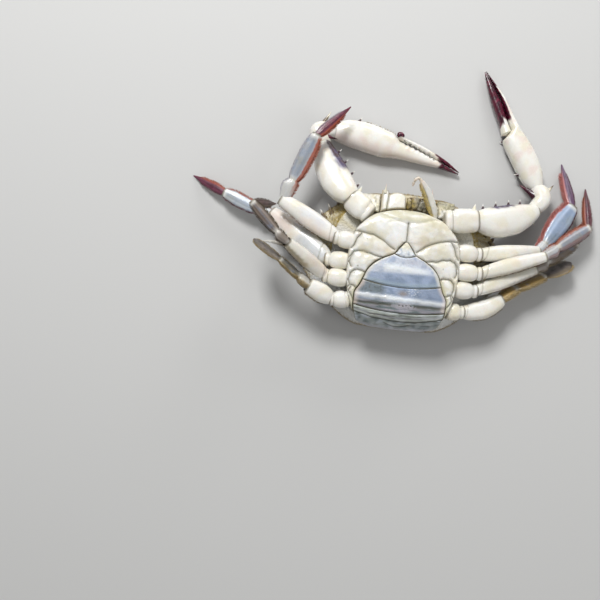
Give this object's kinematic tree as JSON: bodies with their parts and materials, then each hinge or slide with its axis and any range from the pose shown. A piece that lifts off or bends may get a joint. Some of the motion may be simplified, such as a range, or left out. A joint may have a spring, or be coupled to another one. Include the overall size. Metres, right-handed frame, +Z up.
{
  "type": "gazami crab",
  "caption": "Life-size still model of an adult female gazami crab lying on its back, with broad folded apron, spread claws, walking legs and swimming paddles.",
  "frame": {"origin": "middle of the small flat of the back that the crab rests on, under the middle of the body", "axes": "+X towards the crab's left side, +Y towards its head, +Z up, which is its ventral side because it lies on its back"},
  "size_m": [0.2325, 0.1542, 0.0458],
  "materials": {
    "belly_shell": "glossy off-white shell with faint yellow and grey-green mottling",
    "back_shell": "semi-gloss olive-brown shell, finely granular",
    "apron": "semi-gloss blue-grey shell with pale cross bands",
    "claw_tip": "glossy dark maroon shell",
    "leg_blue": "semi-gloss blue-grey shell with a rusty fringe",
    "leg_red": "semi-gloss dark purple-red shell",
    "paddle": "semi-gloss dark olive-grey shell",
    "mouth": "satin yellow-brown mouthparts",
    "eye": "glossy near-black"
  },
  "bodies": {
    "root": {"carapace": "back_shell", "sternum": "belly_shell", "apron_telson": "apron", "apron_somite_6": "apron", "apron_somite_5": "apron", "apron_base": "apron", "maxilliped_left": "belly_shell", "maxilliped_right": "belly_shell", "mouthparts": "mouth", "eye_left": "eye", "antenna_left": "leg_red", "claw_coxa_left": "belly_shell", "claw_merus_left": "belly_shell", "claw_carpus_left": "belly_shell", "claw_palm_left": "belly_shell", "claw_finger_left": "claw_tip", "leg_coxa_2_left": "belly_shell", "leg_merus_2_left": "belly_shell", "leg_propodus_2_left": "leg_blue", "leg_dactyl_2_left": "leg_red", "leg_coxa_3_left": "belly_shell", "leg_merus_3_left": "belly_shell", "leg_propodus_3_left": "leg_blue", "leg_dactyl_3_left": "leg_red", "leg_coxa_4_left": "belly_shell", "leg_merus_4_left": "belly_shell", "leg_propodus_4_left": "leg_blue", "leg_dactyl_4_left": "leg_red", "leg_coxa_5_left": "belly_shell", "leg_merus_5_left": "belly_shell", "leg_propodus_5_left": "paddle", "paddle_left": "paddle", "eye_right": "eye", "antenna_right": "leg_red", "claw_coxa_right": "belly_shell", "claw_merus_right": "belly_shell", "claw_carpus_right": "belly_shell", "claw_palm_right": "belly_shell", "claw_finger_right": "claw_tip", "leg_coxa_2_right": "belly_shell", "leg_merus_2_right": "belly_shell", "leg_propodus_2_right": "leg_blue", "leg_dactyl_2_right": "leg_red", "leg_coxa_3_right": "belly_shell", "leg_merus_3_right": "belly_shell", "leg_propodus_3_right": "leg_blue", "leg_dactyl_3_right": "leg_red", "leg_coxa_4_right": "belly_shell", "leg_merus_4_right": "belly_shell", "leg_propodus_4_right": "leg_blue", "leg_dactyl_4_right": "leg_red", "leg_coxa_5_right": "belly_shell", "leg_merus_5_right": "belly_shell", "leg_propodus_5_right": "paddle", "paddle_right": "paddle"}
  },
  "joints": []
}
